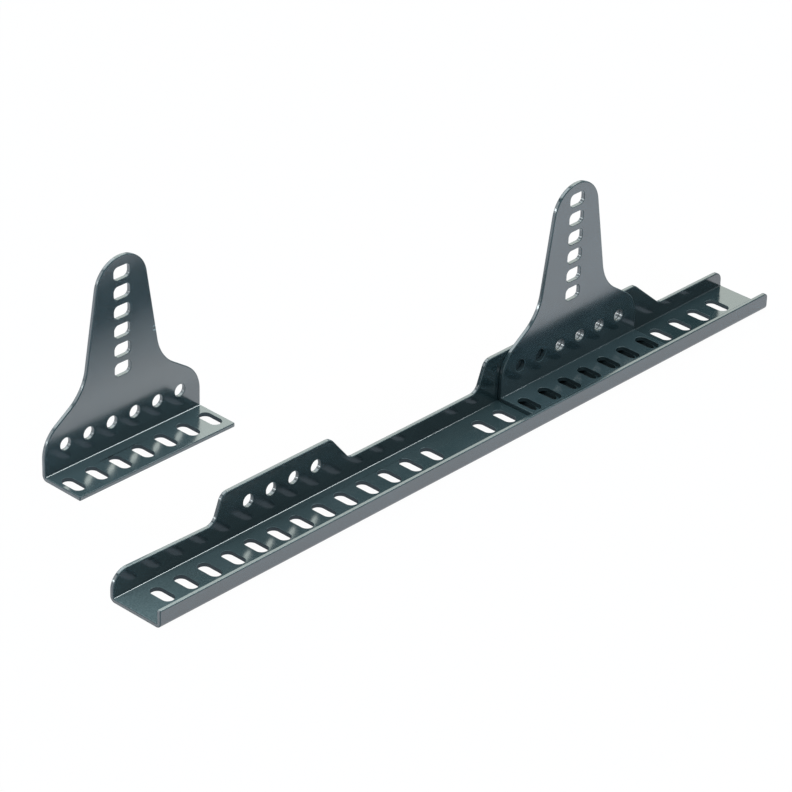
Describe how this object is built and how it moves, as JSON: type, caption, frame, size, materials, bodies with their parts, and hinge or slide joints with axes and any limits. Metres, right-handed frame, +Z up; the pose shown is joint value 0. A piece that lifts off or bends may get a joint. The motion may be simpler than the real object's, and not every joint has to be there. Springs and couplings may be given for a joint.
{
  "type": "seat side mount",
  "caption": "Slotted channel rail with a high flange and two upright angle brackets with slotted towers, for bolting the side of a vehicle seat to the floor.",
  "frame": {"origin": "centre of the rail's underside, on the line of its floor slots, midway between the two groups of slots", "axes": "+X along the rail to its rear end, +Y across it to the high flange, +Z up"},
  "size_m": [0.58, 0.1789, 0.142],
  "materials": {
    "rail_paint": "gloss dark grey-green paint over steel",
    "bracket_paint": "gloss dark grey-green paint over steel"
  },
  "bodies": {
    "root": {"rail": "rail_paint", "rear_bracket": "bracket_paint", "front_bracket": "bracket_paint"}
  },
  "joints": []
}
